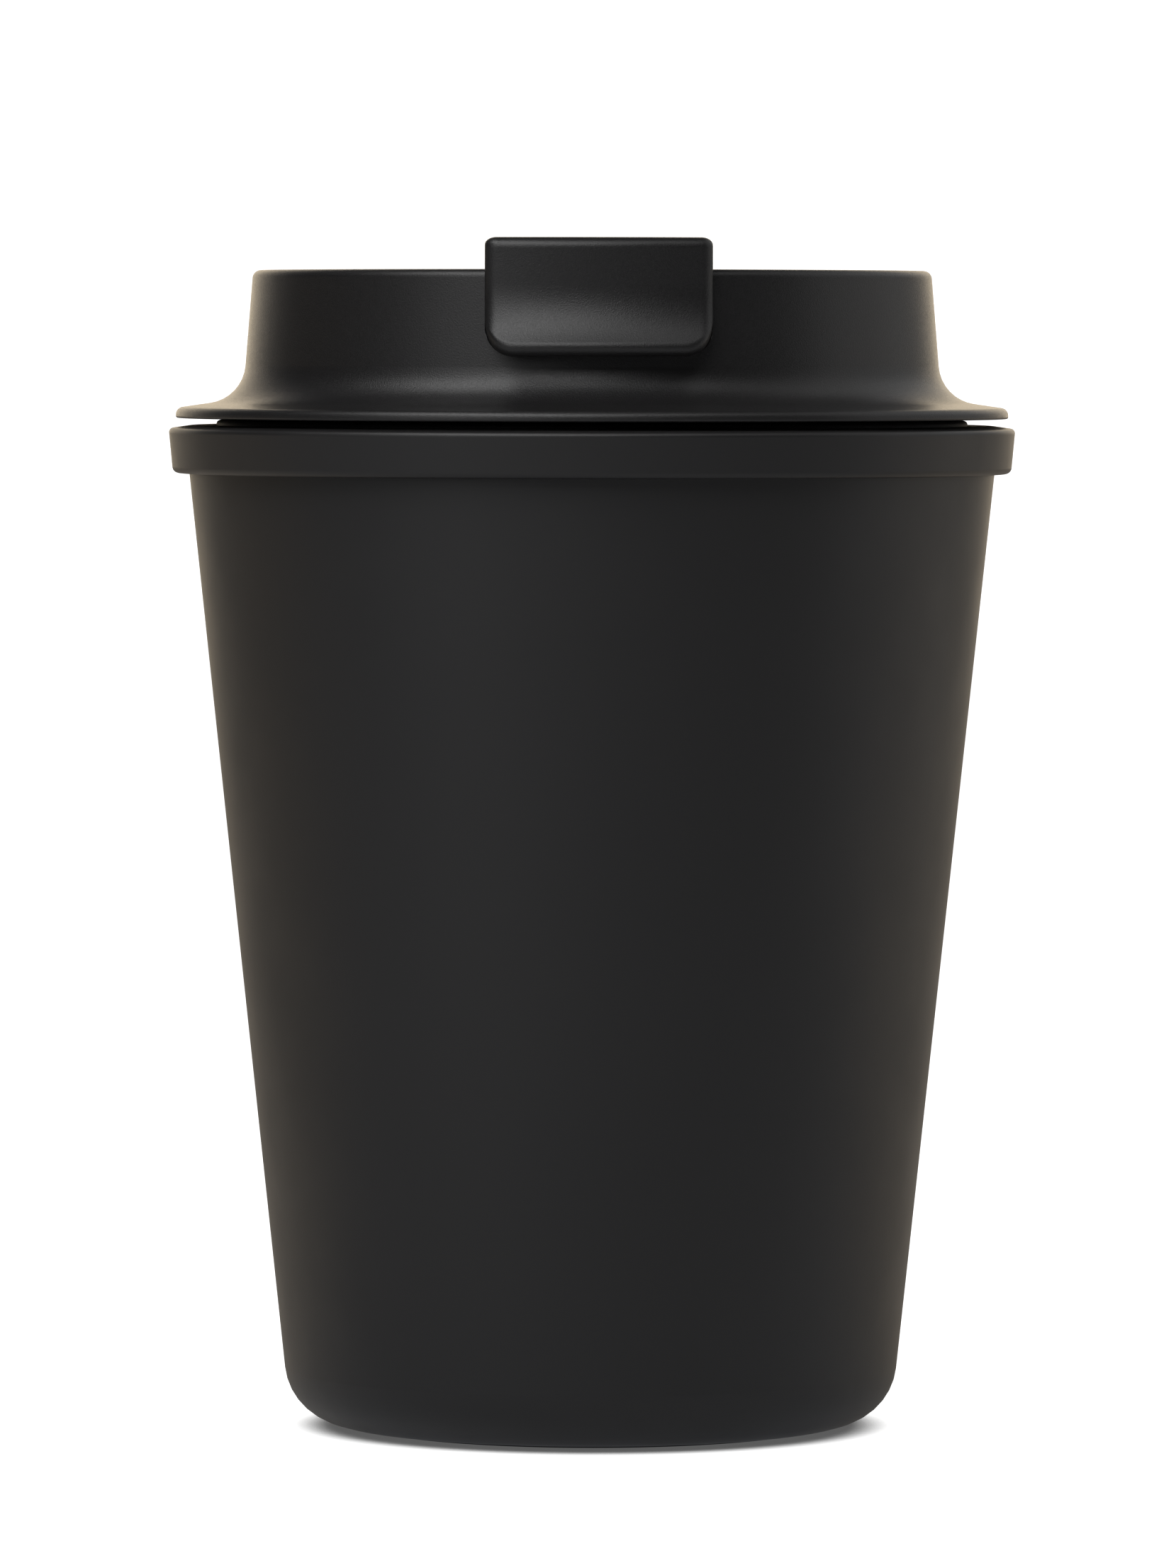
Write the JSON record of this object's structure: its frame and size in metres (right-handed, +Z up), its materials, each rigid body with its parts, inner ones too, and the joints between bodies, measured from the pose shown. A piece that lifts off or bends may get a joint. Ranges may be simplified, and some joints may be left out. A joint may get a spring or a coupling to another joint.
{
  "type": "insulated travel mug",
  "caption": "Tapered double-wall travel mug with a push-fit lid, a silicone seal and a flip lever that closes the drinking slot.",
  "frame": {"origin": "on the surface that the mug stands on, under the cup's axis", "axes": "+Z up along the cup's axis, and the closed lever's tab towards -Y"},
  "size_m": [0.0902, 0.0902, 0.1267],
  "materials": {
    "shell_plastic": "satin",
    "lid_plastic": "matte",
    "liner_steel": "satin",
    "pin_steel": "satin",
    "black_silicone": "matte",
    "gasket_silicone": "matte",
    "foam": "matte"
  },
  "bodies": {
    "cup": {"outer_shell": "shell_plastic", "collar_ring": "shell_plastic", "steel_liner": "liner_steel", "liner_gasket": "gasket_silicone", "insulation_sleeve": "foam", "insulation_disc": "foam", "base_pad": "black_silicone"},
    "seal": {"lid_seal": "black_silicone"},
    "lid": {"lid_shell": "lid_plastic", "lid_liner": "lid_plastic"},
    "flip": {"lever": "lid_plastic", "hinge_pin": "pin_steel", "spout_plug": "black_silicone", "vent_plug": "black_silicone"}
  },
  "joints": [
    {"name": "lid_lift", "type": "slide", "parent": "cup", "child": "seal", "axis": [0, 0, 1], "range_m": [0, 0.045]},
    {"name": "lid_turn", "type": "hinge", "parent": "seal", "child": "lid", "pos_m": [0, 0, 0.1], "axis": [0, 0, 1], "continuous": true},
    {"name": "lever_flip", "type": "hinge", "parent": "lid", "child": "flip", "pos_m": [0, 0.002, 0.1238], "axis": [-1, 0, 0], "range_deg": [0, 175]}
  ]
}
